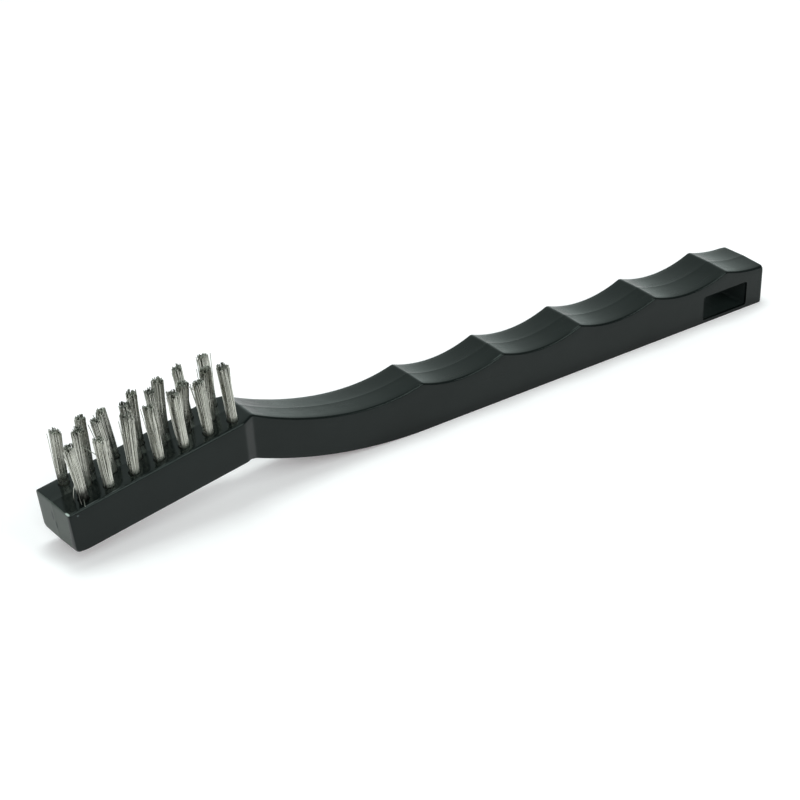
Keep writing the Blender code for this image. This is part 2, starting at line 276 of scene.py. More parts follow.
def stations_between():
    """Even steps, with finer ones close to each bend and over the crest of the heel."""
    even = np.arange(TIP_X + TIP_UNDER_ROUND, END_X - END_UNDER_ROUND, EVEN_STEP)
    bends = np.concatenate([[HEEL_X - SHOULDER_LENGTH * math.cos(PITCH), HEEL_X], RIDGES])
    fine = (bends[:, None] + np.arange(-BEND_REACH, BEND_REACH + 0.01, BEND_STEP)).ravel()
    crest = HEEL_X + np.arange(-CREST_REACH, CREST_REACH + 0.01, CREST_STEP)
    turn = np.radians(np.linspace(0, 90, 9))
    start = TIP_X + TIP_UNDER_ROUND * (1 - np.sin(turn))
    finish = END_X - END_UNDER_ROUND * (1 - np.sin(turn))
    places = np.sort(np.concatenate([start, even, fine, crest, finish]))
    return places[np.concatenate([[True], np.diff(places) > LEAST_STEP])]


def ramp(x, start, softness):
    """Nought before start and a straight rise after it, with the corner between rounded off."""
    return ((x - start) + np.sqrt((x - start)**2 + softness**2)) / 2


def half_width(x):
    """A parallel head, a shoulder that narrows to the heel, and a grip that widens to its end."""
    shoulder = HEEL_X - SHOULDER_LENGTH * math.cos(PITCH)
    narrowing = (NECK_WIDTH - HEAD_WIDTH) / (HEEL_X - shoulder)
    widening = (END_WIDTH - NECK_WIDTH) / (END_X - HEEL_X)
    width = (HEAD_WIDTH + narrowing * ramp(x, shoulder, SHOULDER_SOFTNESS)
             + (widening - narrowing) * ramp(x, HEEL_X, SHOULDER_SOFTNESS))
    return width / 2


top_x = stations_between()
below_heel_x, _ = on_head(HEAD_LENGTH * BACK_SHARE, -HEAD_THICKNESS)
under_x = np.interp(top_x, [TIP_X, HEEL_X, RIDGE_X, END_X],
                    [back_start_x, below_heel_x, RIDGE_X, END_X])
from_tip, to_end = top_x - TIP_X, END_X - top_x
tip_drop = quarter_round(from_tip, TIP_EDGE_ROUND)
tip_rise = quarter_round(from_tip, TIP_UNDER_ROUND)
end_drop = quarter_round(to_end, END_EDGE_ROUND)
end_rise = quarter_round(to_end, END_UNDER_ROUND)
station_top = np.column_stack([top_x + tip_drop * math.sin(PITCH),
                               np.interp(top_x, fine_x, top_z) - tip_drop * math.cos(PITCH)
                               - end_drop])
station_under = np.column_stack([under_x - tip_rise * math.sin(PITCH),
                                 np.interp(under_x, fine_x, under_z) + tip_rise * math.cos(PITCH)
                                 + end_rise])
station_width = half_width(top_x) - tip_drop - end_drop
print(len(top_x), "stations")

# %% [markdown]
# ## The ring that is carried along
#
# Half of one ring runs from the middle of the underside to the middle of the top: across
# the underside, round the lower edge, up the side, round the upper edge and across the
# top to the parting line, where the two halves of the mould met. Each mould half has a
# little draft, so the top is a very low roof, and the seam stands up as a hair-thin
# flash. The other half of the ring is its mirror image. Over the last millimetre before
# each end the rings are pushed out by the same draft, so the end faces are low roofs too.

# %% The rings, as distance across and height above the underside
EDGE_TURN = np.radians(np.linspace(0, 90, 6))
SEAM_ACROSS = np.array([0.0, 0.04, 0.08, 0.12])
SEAM_LIFT = np.array([0.015, 0.012, 0.003, 0.0])
ACROSS_SHARES = np.array([0.25, 0.55, 0.8])
RISE_SHARES = np.linspace(0, 1, 7)[1:-1]
COLUMNS = len(SEAM_ACROSS) + len(ACROSS_SHARES)
TURN, RISES = len(EDGE_TURN), len(RISE_SHARES)
TOP_MIDDLE = 2 * COLUMNS + 2 * TURN + RISES - 1


def make_rings(height, width, under_round, top_round):
    """Each row is one ring: its quarter-round edges are sines and cosines of the edge radii."""
    sizes = (height, width, under_round, top_round)
    height, width, under_round, top_round = [size[:, None] for size in sizes]
    inner, outer = np.sin(EDGE_TURN) - 1, 1 - np.cos(EDGE_TURN)
    low_column, high_column = [
        np.hstack([SEAM_ACROSS + 0 * width, ACROSS_SHARES * (width - radius)])
        for radius in (under_round, top_round)]
    low_edge, high_edge = width + under_round * inner, width + top_round * inner
    roof = (width - high_column) * DRAFT + np.interp(high_column, SEAM_ACROSS, SEAM_LIFT)
    side = height - under_round - top_round
    across = np.hstack([low_column, low_edge, width + 0 * RISE_SHARES,
                        high_edge[:, ::-1], high_column[:, ::-1]])
    lift = np.hstack([0 * low_column, under_round * outer, under_round + RISE_SHARES * side,
                      (height - top_round * outer + DRAFT * (width - high_edge))[:, ::-1],
                      height + roof[:, ::-1]])
    return (np.hstack([across, -across[:, -2:0:-1]]), np.hstack([lift, lift[:, -2:0:-1]]))


up = station_top - station_under
station_height = np.linalg.norm(up, axis=1)
up = up / station_height[:, None]
station_push = np.clip(1 - to_end, 0, 1)**2 - np.clip(1 - from_tip, 0, 1)**2
near_tip = np.exp(-(from_tip / TIP_CORNER_REACH)**2)
near_end = np.exp(-(to_end / END_CORNER_REACH)**2)
low_round = UNDER_EDGE_ROUND + (TIP_CORNER_ROUND - UNDER_EDGE_ROUND) * near_tip
high_round = TOP_EDGE_ROUND + (END_CORNER_ROUND - TOP_EDGE_ROUND) * near_end
ring_across, ring_lift = make_rings(station_height, station_width, low_round, high_round)
RING = ring_across.shape[1]


def on_station(k, across, lift):
    """Ring places become points: up from the underside, and out of the end faces by their
    draft and their seam. The edges of the seam are held back by its height, so that its
    crest is what reaches furthest."""
    under, rise, width, push = station_under[k], up[k], station_width[k], station_push[k]
    seam = np.interp(np.abs(across), SEAM_ACROSS, SEAM_LIFT - SEAM_LIFT[0])
    out = push[..., None] * ((width[..., None] - np.abs(across)) * DRAFT + seam)
    return np.stack([under[..., :1] + lift * rise[..., :1] + out, across,
                     under[..., 1:] + lift * rise[..., 1:]], axis=-1)


skin = on_station(np.arange(len(top_x)), ring_across, ring_lift)
print("the skin has", skin.shape[0], "rings of", RING, "points")

# %% [markdown]
# ## Closing the ends
#
# The loft is open at both ends, and each end face shows the seam too. A fan from the
# centre would smear the seam, so an end is filled by a grid instead: its columns follow
# the points of the underside and the top, and its rows follow the points of the sides.
# The four rounded corners that are left become one face each.

# %% The end faces


def end_face(k):
    """Its rows are straight lines between the two sides, and its four corners are fans.

    A place in the ring is two numbers: across, and up from the underside. The middle of
    the grid takes the first from the underside and the second from the side."""
    ring = np.stack([ring_across[k], ring_lift[k]], axis=-1)
    low_row = np.arange(-COLUMNS, COLUMNS + 1) % RING
    side = np.arange(COLUMNS + TURN - 1, COLUMNS + TURN + RISES + 1)
    high_row = np.arange(RING - TOP_MIDDLE + COLUMNS, TOP_MIDDLE - COLUMNS - 1, -1)
    middle = np.empty((len(side), len(low_row), 2))
    middle[..., 0], middle[..., 1] = ring[low_row, 0], ring[side, 1][:, None]
    grid = np.concatenate([ring[low_row][None], middle, ring[high_row][None]])
    places, faces = [grid.reshape(-1, 2)], grid_faces(*grid.shape[:2]).tolist()
    count = len(places[0])
    for sign, column in ((1, -1), (-1, 0)):
        ring_side = side if sign > 0 else RING - side
        strip = np.stack([grid[1:-1, column], ring[ring_side]], axis=1)
        places.append(strip.reshape(-1, 2))
        faces += grid_faces(len(side), 2, first=count).tolist()
        count += 2 * len(side)
        for first, row in ((COLUMNS, 1), (side[-1], -2)):
            arc = np.arange(first, first + TURN) * sign % RING
            places.append(np.vstack([grid[row, column], ring[arc]]))
            faces.append(list(range(count, count + TURN + 1)))
            count += TURN + 1
    across, lift = np.concatenate(places).T
    return on_station(np.array(k), across, lift), faces


ends = [end_face(0), end_face(len(top_x) - 1)]
print("end faces of", [len(faces) for _, faces in ends], "faces")

# %% [markdown]
# ## Putting the handle together
#
# The skin and the two end faces share their border points, so doubled points are merged
# and the closed shell is turned to face outwards. The hanging slot and the tuft holes
# are cut by Boolean modifiers, as a drill and a mould core would. The core of the slot
# flares where it leaves the sides, which leaves a small round lip on the plastic.

# %% The shell of the handle


def merged_shell(name, parts):
    """Joins the parts' points and faces, merges points that lie within a micron of each
    other, and turns all faces outwards."""
    work = bmesh.new()
    for points, faces in parts:
        corners = [work.verts.new(point) for point in np.reshape(points, (-1, 3)) * MM]
        for face in faces:
            work.faces.new([corners[i] for i in face])
    bmesh.ops.remove_doubles(work, verts=work.verts, dist=MICRON)
    bmesh.ops.recalc_face_normals(work, faces=work.faces)
    mesh = bpy.data.meshes.new(name)
    work.to_mesh(mesh)
    work.free()
    thing = bpy.data.objects.new(name, mesh)
    bpy.context.scene.collection.objects.link(thing)
    return thing


skin_faces = grid_faces(*skin.shape[:2], round_across=True).tolist()
handle = merged_shell("handle_moulding", [(skin, skin_faces), *ends])
print("shell:", len(handle.data.vertices), "points,", len(handle.data.polygons), "faces")

# %% Sizes of the slot and the holes
SLOT_LENGTH, SLOT_HEIGHT, SLOT_CORNER = 13.2, 5.6, 0.5
SLOT_LOW, SLOT_TO_END, SLOT_LIP = 1.0, 5.35, 0.15
TUFTS_IN_OUTER_ROW, FIRST_TUFT, LAST_TUFT_TO_HEEL = 7, 4.93, 3.8
HOLE_DIAMETER, HOLE_DEPTH, HOLE_SIDE_WALL = 2.4, 6.0, 1.4
SLOT_CENTRE = np.array([END_X - SLOT_TO_END - SLOT_LENGTH / 2, 0.0, SLOT_LOW + SLOT_HEIGHT / 2])
ANCHOR_SIZE = (3.2, 0.4, 1.6)
CLEARANCE, FOLD_THICKNESS = 0.3, 0.5
ANCHOR_MIDDLE = -HOLE_DEPTH + CLEARANCE + FOLD_THICKNESS + CLEARANCE + ANCHOR_SIZE[2] / 2
POCKET_GAP, OVERRUN = 0.06, 2.0
SLOT_TOLERANCE, GLOSSY_LIP = 0.05, 0.4


def tuft_places():
    """The name, the distance along the head and the distance across it of each tuft."""
    pitch = (HEAD_LENGTH - FIRST_TUFT - LAST_TUFT_TO_HEEL) / (TUFTS_IN_OUTER_ROW - 1)
    spacing = HEAD_WIDTH / 2 - HOLE_SIDE_WALL - HOLE_DIAMETER / 2
    outer = FIRST_TUFT + pitch * np.arange(TUFTS_IN_OUTER_ROW)
    rows = (("left", -spacing, outer), ("middle", 0.0, (outer[:-1] + outer[1:]) / 2),
            ("right", spacing, outer))
    return [(f"{row}_{i + 1}", along, side) for row, side, alongs in rows
            for i, along in enumerate(alongs)]


def head_to_frame(points):
    """Distances along, across and above the face of the head become x, y and z."""
    x, z = on_head(points[..., 0], points[..., 2])
    return np.stack([x, points[..., 1], z], axis=-1)


TUFTS = tuft_places()
print(len(TUFTS), "tufts, pitch", round(TUFTS[1][1] - TUFTS[0][1], 3), "mm")

# %% The core of the slot and the drill


def slot_core():
    """A rounded rectangle carried through the grip, wider where it leaves the curved sides.

    The inset says how far inside the side each ring lies, from a millimetre outside it, and
    the flare says how much wider the ring is: together they go round a quarter circle."""
    turn = np.radians(np.linspace(0, 90, 7))
    quadrants = ((1, 1), (-1, 1), (-1, -1), (1, -1))
    centre_x, _, centre_z = SLOT_CENTRE
    straight_x, straight_z = SLOT_LENGTH / 2 - SLOT_CORNER, SLOT_HEIGHT / 2 - SLOT_CORNER
    angle = np.concatenate([turn + math.pi / 2 * i for i in range(len(quadrants))])
    corner_x = np.repeat([sign * straight_x for sign, _ in quadrants], len(turn))
    corner_z = np.repeat([sign * straight_z for _, sign in quadrants], len(turn))
    flare_turn = np.linspace(0, math.pi / 2, 5)
    inset = np.concatenate([[-1.0], SLOT_LIP * (1 - np.sin(flare_turn)), [SLOT_LIP * 3]])
    flare = np.concatenate([[SLOT_LIP], SLOT_LIP * (1 - np.cos(flare_turn))[::-1], [0]])[:, None]
    x = centre_x + corner_x + (SLOT_CORNER + flare) * np.cos(angle)
    z = centre_z + corner_z + (SLOT_CORNER + flare) * np.sin(angle)
    y = half_width(x) - inset[:, None]
    near = np.stack([x, -y, z], axis=-1)
    far = np.stack([x, y, z], axis=-1)[::-1]
    rings = np.concatenate([near, far])
    faces = grid_faces(*rings.shape[:2], round_across=True).tolist()
    count = rings.shape[1]
    faces += [list(range(count)), list(range(len(rings) * count - count, len(rings) * count))]
    return rings, faces


def drill(centres, radius, low, high, sides=32):
    """Upright cylinders at each centre, in head coordinates, with flat ends."""
    angle = np.linspace(0, 2 * math.pi, sides, endpoint=False)
    circle = np.column_stack([np.cos(angle), np.sin(angle)]) * radius
    parts = []
    for along, side in centres:
        rim = np.column_stack([circle[:, 0] + along, circle[:, 1] + side])
        rings = np.stack([np.column_stack([rim, np.full(sides, z)]) for z in (low, high)])
        faces = grid_faces(2, sides, round_across=True).tolist()
        faces += [list(range(sides)), list(range(sides, 2 * sides))]
        parts.append((head_to_frame(rings), faces))
    return parts


def boxes(centres, size, middle):
    """Boxes for the places that the ends of the anchors cut into."""
    signs = np.array([[-1, -1], [1, -1], [1, 1], [-1, 1]])
    parts = []
    for along, side in centres:
        rim = signs * size[:2] / 2 + [along, side]
        rings = np.stack([np.column_stack([rim, np.full(4, middle + z * size[2] / 2)])
                          for z in (-1, 1)])
        faces = grid_faces(2, 4, round_across=True).tolist() + [[0, 1, 2, 3], [4, 5, 6, 7]]
        parts.append((head_to_frame(rings), faces))
    return parts


def cut(thing, cutter):
    """Takes the cutter away from the piece for good, and removes the cutter."""
    modifier = thing.modifiers.new("cut", "BOOLEAN")
    modifier.operation, modifier.solver, modifier.object = "DIFFERENCE", "EXACT", cutter
    whole = thing.evaluated_get(bpy.context.evaluated_depsgraph_get())
    mesh = bpy.data.meshes.new_from_object(whole)
    thing.modifiers.clear()
    old, thing.data = thing.data, mesh
    bpy.data.meshes.remove(old)
    bpy.data.objects.remove(cutter)


CENTRES = [(along, side) for _, along, side in TUFTS]
pocket = [size + POCKET_GAP for size in ANCHOR_SIZE]
cut(handle, merged_shell("slot_core", [slot_core()]))
cut(handle, merged_shell("drill", drill(CENTRES, HOLE_DIAMETER / 2, -HOLE_DEPTH, OVERRUN)))
cut(handle, merged_shell("pockets", boxes(CENTRES, pocket, ANCHOR_MIDDLE)))
handle.data.name = "handle_moulding"
centres = np.empty(3 * len(handle.data.polygons))
handle.data.polygons.foreach_get("center", centres)
off_centre = np.abs(centres.reshape(-1, 3) / MM - SLOT_CENTRE)
slot_reach = [SLOT_LENGTH / 2 + SLOT_TOLERANCE, END_WIDTH / 2 - GLOSSY_LIP,
              SLOT_HEIGHT / 2 + SLOT_TOLERANCE]
in_slot = (off_centre < slot_reach).all(axis=1)
smooth_surface(handle, sharp_angle=38)
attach(handle, "root")
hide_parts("handle")
print("handle:", len(handle.data.polygons), "faces after cutting,",
      in_slot.sum(), "of them in the slot")

# %% [markdown]
# ## Bending the wires
#
# A tuft is a bundle of straight wires that a machine bends double round a flat piece of
# metal and drives into its hole. So each wire has two legs that show and a fold that
# doesn't. All the wires of a tuft are one array of paths: the feet lie on a sunflower
# pattern, which packs round wires evenly, and the legs spread a little towards the tips.
# The wires stick together in locks, which drift and end together, and within a lock the
# cut is ragged. One leg in twenty-five stands away from the rest.

# %% Sizes of the wires
WIRE_DIAMETER = 0.165
BENT_WIRES, LOCKS = 70, 15
TUFT_LENGTH = 13.3
FOOT_RADIUS = 1.02
GOLDEN_TURN = math.pi * (3 - math.sqrt(5))
LEG_SHARES = np.array([1.0, 0.68, 0.34, 0.0])
SPREAD_POWER, BOW, TIP_SCATTER = 1.25, 0.07, 0.05
LOCK_PULL, LOCK_SCATTER, LOCK_DRIFT = 0.07, 0.10, 0.06
LOCK_CUT, RAGGED_CUT, DEEPEST_CUT = 0.40, 0.45, 3.0
SHORT_OF_FULL_LENGTH = 0.06
STRAY_SHARE, STRAY_LEAST, STRAY_MOST, STRAY_DROP = 0.04, 0.25, 0.9, 0.4
MIDDLE_GUARD = 0.05
FOLD_TOP, FOLD_BOTTOM = -3.1, -4.95
FOLD_NARROWING, FOLD_ASIDE, FOLD_SPREAD = 0.95, 0.29, 0.72
SAG_LEAST, SAG_SHARE = 0.10, 0.45


def sunflower(count, radius):
    """Point number i sits i golden turns round, at a distance that grows with the root of i."""
    i = np.arange(count) + 0.5
    reach = radius * np.sqrt(i / count)
    return np.column_stack([reach * np.cos(i * GOLDEN_TURN), reach * np.sin(i * GOLDEN_TURN)])


def leg_paths(chance, feet, locks, tuft):
    """From the tip to the foot: the sideways place moves from the spread tip to the foot as
    a power of the share of the height, and a leg bows as half a sine wave."""
    count = len(feet)
    stray = np.where(chance.random(count) < STRAY_SHARE,
                     chance.uniform(STRAY_LEAST, STRAY_MOST, count), 0)
    outward = feet / (np.linalg.norm(feet, axis=1)[:, None] + MIDDLE_GUARD)
    middle, drift, short = locks
    lock = np.argmin(np.linalg.norm(feet[:, None] - middle[None], axis=2), axis=1)
    spread = feet * (1 + tuft["spread"])
    tips = (spread + LOCK_PULL * (middle[lock] * (1 + tuft["spread"]) - spread) + drift[lock]
            + tuft["lean"] + chance.normal(0, TIP_SCATTER, (count, 2))
            + outward * stray[:, None])
    cut = (tuft["cut"] + short[lock] + np.abs(chance.normal(0, RAGGED_CUT, count))
           + stray * STRAY_DROP)
    height = TUFT_LENGTH - SHORT_OF_FULL_LENGTH - cut.clip(0, DEEPEST_CUT)
    bow = chance.normal(0, BOW, (count, 2))
    share = LEG_SHARES[None, :, None]
    sideways = (feet[:, None] + (tips - feet)[:, None] * share**SPREAD_POWER
                + bow[:, None] * np.sin(math.pi * share))
    return np.concatenate([sideways, height[:, None, None] * share], axis=2)


def fold_paths(feet):
    """Below the face a leg moves aside to clear the anchor, and the fold passes under it."""
    aside = np.sign(feet[:, 1]) * (FOLD_ASIDE + FOLD_SPREAD * np.abs(feet[:, 1]))
    clear = np.column_stack([feet[:, 0] * FOLD_NARROWING, aside])
    top = np.column_stack([clear, np.full(len(feet), FOLD_TOP)])
    bottom = np.column_stack([clear, np.full(len(feet), FOLD_BOTTOM)])
    return np.stack([top, bottom], axis=1)


def make_locks(chance):
    """The middle of each lock, its drift at the tips and the length that it is short of."""
    middle = sunflower(LOCKS, FOOT_RADIUS) + chance.normal(0, LOCK_SCATTER, (LOCKS, 2))
    drift = chance.normal(0, LOCK_DRIFT, (LOCKS, 2))
    return middle, drift, np.abs(chance.normal(0, LOCK_CUT, LOCKS))


def wire_paths(seed, tuft):
    """All the bent wires of one tuft, in millimetres from the middle of its hole: down one
    leg, round the fold and up the other leg."""
    chance = np.random.default_rng(seed)
    locks = make_locks(chance)
    feet = sunflower(2 * BENT_WIRES, FOOT_RADIUS)
    feet = feet[feet[:, 1] > 0]
    other = feet * [1, -1]
    legs = [leg_paths(chance, side, locks, tuft) for side in (feet, other)]
    folds = [fold_paths(side) for side in (feet, other)]
    sag = SAG_LEAST + SAG_SHARE * np.abs(folds[0][:, 1, 1])
    under = np.column_stack([feet[:, 0] * FOLD_NARROWING, 0 * feet[:, 0], FOLD_BOTTOM - sag])
    return np.concatenate([legs[0], folds[0], under[:, None], folds[1][:, ::-1],
                           legs[1][:, ::-1]], axis=1)


print("a tuft shows", 2 * BENT_WIRES, "wire ends of", WIRE_DIAMETER, "mm")

# %% [markdown]
# ## Giving the wires a thickness
#
# A tube is a small circle carried along each path. At every path point the circle stands
# square to the wire: its two axes are cross products of the wire's direction with a fixed
# one that the wire never points along. The circle has five corners, because thousands of
# wires share the triangle budget, and smooth shading makes them look round.

# %% Tubes along paths
SIDES, FOLD_POINTS = 5, 5


def tubes(paths, radius):
    """For paths of shape (wires, points, 3): rings of shape (wires, points, SIDES, 3)."""
    direction = np.gradient(paths, axis=1)
    direction = direction / np.linalg.norm(direction, axis=2)[..., None]
    one = np.cross(direction, [1.0, 0.0, 0.0])
    one = one / np.linalg.norm(one, axis=2)[..., None]
    two = np.cross(direction, one)
    angle = np.linspace(0, 2 * math.pi, SIDES, endpoint=False)[:, None]
    return (paths[:, :, None] + radius * (np.cos(angle) * one[:, :, None]
                                          + np.sin(angle) * two[:, :, None]))


def tube_faces(wires, points):
    """Quads round and along each tube, and a flat face on each cut end."""
    per_wire = points * SIDES
    first = grid_faces(points, SIDES, round_across=True)
    starts = per_wire * np.arange(wires)
    quads = (starts[:, None, None] + first[None]).reshape(-1, 4)
    ring = np.arange(SIDES)
    caps = np.concatenate([starts[:, None] + ring,
                           starts[:, None] + ring[::-1] + per_wire - SIDES])
    return quads[:, ::-1].tolist() + caps.tolist()


print("each wire has", (2 * len(LEG_SHARES) + FOLD_POINTS - 1) * SIDES + 2, "faces")

# %% [markdown]
# ## Plastic, steel and the metal of the anchors
#
# The materials are made of nodes, with no images. All of them read Object coordinates,
# which stay fixed to the brush, so a pattern never slides when the camera moves.

# %% Node helpers


def new_material(name):
    """A material with an empty node tree but for its shader, output and coordinates."""
    material = bpy.data.materials.new(name)
    material.use_nodes = True
    tree = material.node_tree
    shader = tree.nodes["Principled BSDF"]
    place = tree.nodes.new("ShaderNodeTexCoord").outputs["Object"]
    return material, tree, shader, place


def noise(tree, place, scale, detail=2.0, stretch=None):
    """A soft random cloud. Its scale is in features per metre, and stretch changes it by axis."""
    if stretch:
        mapping = tree.nodes.new("ShaderNodeMapping")
        mapping.inputs["Scale"].default_value = stretch
        tree.links.new(place, mapping.inputs["Vector"])
        place = mapping.outputs["Vector"]
    cloud = tree.nodes.new("ShaderNodeTexNoise")
    cloud.inputs["Scale"].default_value = scale
    cloud.inputs["Detail"].default_value = detail
    tree.links.new(place, cloud.inputs["Vector"])
    return cloud.outputs["Fac"]


def remap(tree, value, low, high, new_low, new_high):
    """A straight line from low..high to new_low..new_high, held at its ends."""
    node = tree.nodes.new("ShaderNodeMapRange")
    tree.links.new(value, node.inputs["Value"])
    for name, number in (("From Min", low), ("From Max", high),
                         ("To Min", new_low), ("To Max", new_high)):
        node.inputs[name].default_value = number
    return node.outputs["Result"]


def blend_colours(tree, share, first, second):
    """Mixes two colours, each given as numbers or as a socket."""
    node = tree.nodes.new("ShaderNodeMix")
    node.data_type = "RGBA"
    for name, colour in (("A", first), ("B", second)):
        socket = [s for s in node.inputs if s.name == name and s.type == "RGBA"][0]
        if isinstance(colour, tuple):
            socket.default_value = (*colour, 1.0)
        else:
            tree.links.new(colour, socket)
    tree.links.new(share, node.inputs["Factor"])
    return [s for s in node.outputs if s.type == "RGBA"][0]


def blend_numbers(tree, share, first, second):
    """Mixes two numbers, each given as a number or as a socket."""
    node = tree.nodes.new("ShaderNodeMix")
    for name, number in (("Factor", share), ("A", first), ("B", second)):
        if isinstance(number, float):
            node.inputs[name].default_value = number
        else:
            tree.links.new(number, node.inputs[name])
    return node.outputs["Result"]


def along_axis(tree, place, axis):
    """How far a place lies along an axis: the dot product of the two."""
    node = tree.nodes.new("ShaderNodeVectorMath")
    node.operation = "DOT_PRODUCT"
    tree.links.new(place, node.inputs[0])
    node.inputs[1].default_value = axis
    return node.outputs["Value"]


def near_spot(tree, place, spot, reach):
    """One at a spot and nought from its reach on. The offset divided by the reach, axis by
    axis, has a length of one all over an ellipsoid, and the share starts to fall at 0.6."""
    offset = tree.nodes.new("ShaderNodeMapping")
    offset.vector_type = "TEXTURE"
    offset.inputs["Location"].default_value = [v * MM for v in spot]
    offset.inputs["Scale"].default_value = [v * MM for v in reach]
    tree.links.new(place, offset.inputs["Vector"])
    length = tree.nodes.new("ShaderNodeVectorMath")
    length.operation = "LENGTH"
    tree.links.new(offset.outputs["Vector"], length.inputs[0])
    return remap(tree, length.outputs["Value"], 0.6, 1.0, 1.0, 0.0)


def relief(tree, height, distance, below=None):
    """A bump of that depth in metres, laid over another bump."""
    bump = tree.nodes.new("ShaderNodeBump")
    bump.inputs["Distance"].default_value = distance
    tree.links.new(height, bump.inputs["Height"])
    if below:
        tree.links.new(below, bump.inputs["Normal"])
    return bump.outputs["Normal"]


print("node helpers ready")

# %% [markdown]
# ### The black plastic
#
# Moulded plastic is smooth but never flat: a fine texture from the mould, slow waves
# where it shrank, and rubbed lines along it from packing and handling. The waves and the
# texture are bumps, and the rubbing shows as a change of roughness. The head is glossier
# than the grip. The face of the tip is painted pale, as painted light for the bright
# reflection that it catches, up to a ragged line near its edges: the distance to the line
# is mixed half and half with a noise. It has two dark scratches in the middle, and two
# pale spots at its near upper corner, painted highlights on its chips.

# %% Black plastic
HEAD_AXIS = (math.cos(PITCH), 0.0, math.sin(PITCH))
TIP_EDGE = (TIP_X * math.cos(PITCH) + TIP_HEIGHT * math.sin(PITCH)) * MM
# The two pale chip colours are painted highlights on the chipped near corner of the tip.
SCRATCH, PAINTED_CHIP_HIGHLIGHT, SOFT_PAINTED_CHIP_HIGHLIGHT = (0.006, 0.010, 0.009), (0.42, 0.47, 0.44), (0.05, 0.06, 0.062)
TIP_MARKS = (((-91.3, 0.70, 8.95), (1.0, 0.50, 1.5), SCRATCH),
             ((-91.1, -0.05, 7.10), (1.0, 0.45, 1.1), SCRATCH),
             ((-91.85, -5.45, 12.2), (0.5, 0.80, 0.26), PAINTED_CHIP_HIGHLIGHT),
             ((-89.9, -6.2, 11.62), (0.32, 0.3, 0.22), SOFT_PAINTED_CHIP_HIGHLIGHT))
plastic, tree, shader, place = new_material("black_moulded_plastic")
slow = noise(tree, place, 90.0, 2.0)
grain = noise(tree, place, 2600.0, 3.0)
rubbed = noise(tree, place, 40.0, 6.0, stretch=(1.0, 22.0, 22.0))
deep = blend_colours(tree, remap(tree, slow, 0.35, 0.65, 0.0, 1.0),
                     (0.0026, 0.0040, 0.0038), (0.0044, 0.0061, 0.0059))
head_share = remap(tree, along_axis(tree, place, (1, 0, 0)), -0.050, -0.046, 1.0, 0.0)
ragged = noise(tree, place, 1800.0, 3.0)
from_tip_face = along_axis(tree, place, HEAD_AXIS)
ragged_tip_distance = blend_numbers(tree, 0.5, from_tip_face,
                        remap(tree, ragged, 0.3, 0.7, TIP_EDGE - 0.06 * MM, TIP_EDGE + 0.03 * MM))
painted_tip_light_share = remap(tree, ragged_tip_distance, TIP_EDGE + 0.02 * MM, TIP_EDGE + 0.06 * MM, 1.0, 0.0)
from_near_edge = blend_numbers(tree, 0.5, along_axis(tree, place, (0.0, 1.0, 0.13)),
                               remap(tree, ragged, 0.3, 0.7, -4.85 * MM, -4.35 * MM))
past_near_edge = remap(tree, from_near_edge, -4.34 * MM, -4.18 * MM, 0.0, 1.0)
painted_tip_light_share = blend_numbers(tree, past_near_edge, 0.0, painted_tip_light_share)
# Painted light: the face of the tip is painted pale for the bright reflection that it catches.
colour_with_painted_tip_light = blend_colours(tree, painted_tip_light_share, deep, (0.053, 0.062, 0.054))
for spot, reach, colour in TIP_MARKS:
    colour_with_painted_tip_light = blend_colours(tree, near_spot(tree, place, spot, reach), colour_with_painted_tip_light, colour)
tree.links.new(colour_with_painted_tip_light, shader.inputs["Base Color"])
gloss = blend_numbers(tree, head_share, remap(tree, rubbed, 0.35, 0.7, 0.17, 0.28),
                      remap(tree, rubbed, 0.35, 0.7, 0.09, 0.16))
tree.links.new(blend_numbers(tree, painted_tip_light_share, gloss, 0.42), shader.inputs["Roughness"])
waves = relief(tree, slow, 0.00012)
tree.links.new(relief(tree, grain, 0.000006, waves), shader.inputs["Normal"])
shader.inputs["IOR"].default_value = 1.29
shader.inputs["Specular Tint"].default_value = (0.92, 1.0, 0.97, 1.0)
print(plastic.name, "has", len(tree.nodes), "nodes")

# %% The darker, duller plastic that the core of the slot leaves
slot_plastic, tree, shader, place = new_material("dull_slot_plastic")
drag = noise(tree, place, 300.0, 4.0, stretch=(4.0, 1.0, 4.0))
tree.links.new(blend_colours(tree, drag, (0.0085, 0.0120, 0.0115), (0.0125, 0.0165, 0.0158)),
               shader.inputs["Base Color"])
tree.links.new(remap(tree, drag, 0.3, 0.7, 0.5, 0.65), shader.inputs["Roughness"])
tree.links.new(relief(tree, drag, 0.00001), shader.inputs["Normal"])
shader.inputs["IOR"].default_value = 1.2
handle.data.materials.clear()
for finish in (plastic, slot_plastic):
    handle.data.materials.append(finish)
handle.data.polygons.foreach_set("material_index", in_slot.astype(np.int32))
print(slot_plastic.name, "covers", in_slot.sum(), "faces")

# %% [markdown]
# ### The steel wire
#
# Drawn wire is bright along its length, and each one differs a little in shade. Two
# values are stored on the points of the wires: a random shade for each wire, and the
# height above the face of the head, so that the cut ends can be painted darker, as
# painted shade. Brown stains lie here and there, and the first tuft is darker near its
# foot.

# %% Steel wire
# The first colour below is painted shade for the cut ends of the wires. It also darkens the foot of
# the first tuft.
DARKER_STEEL = (0.05, 0.05, 0.045)
FOOT_DARK_SPOT, FOOT_DARK_REACH = (-87.0, -3.9, 13.0), (2.6, 2.2, 3.8)
steel, tree, shader, place = new_material("drawn_steel_wire")


def point_value(tree, name):
    """Reads a number that is stored on the points of the mesh."""
    node = tree.nodes.new("ShaderNodeAttribute")
    node.attribute_name = name
    return node.outputs["Fac"]


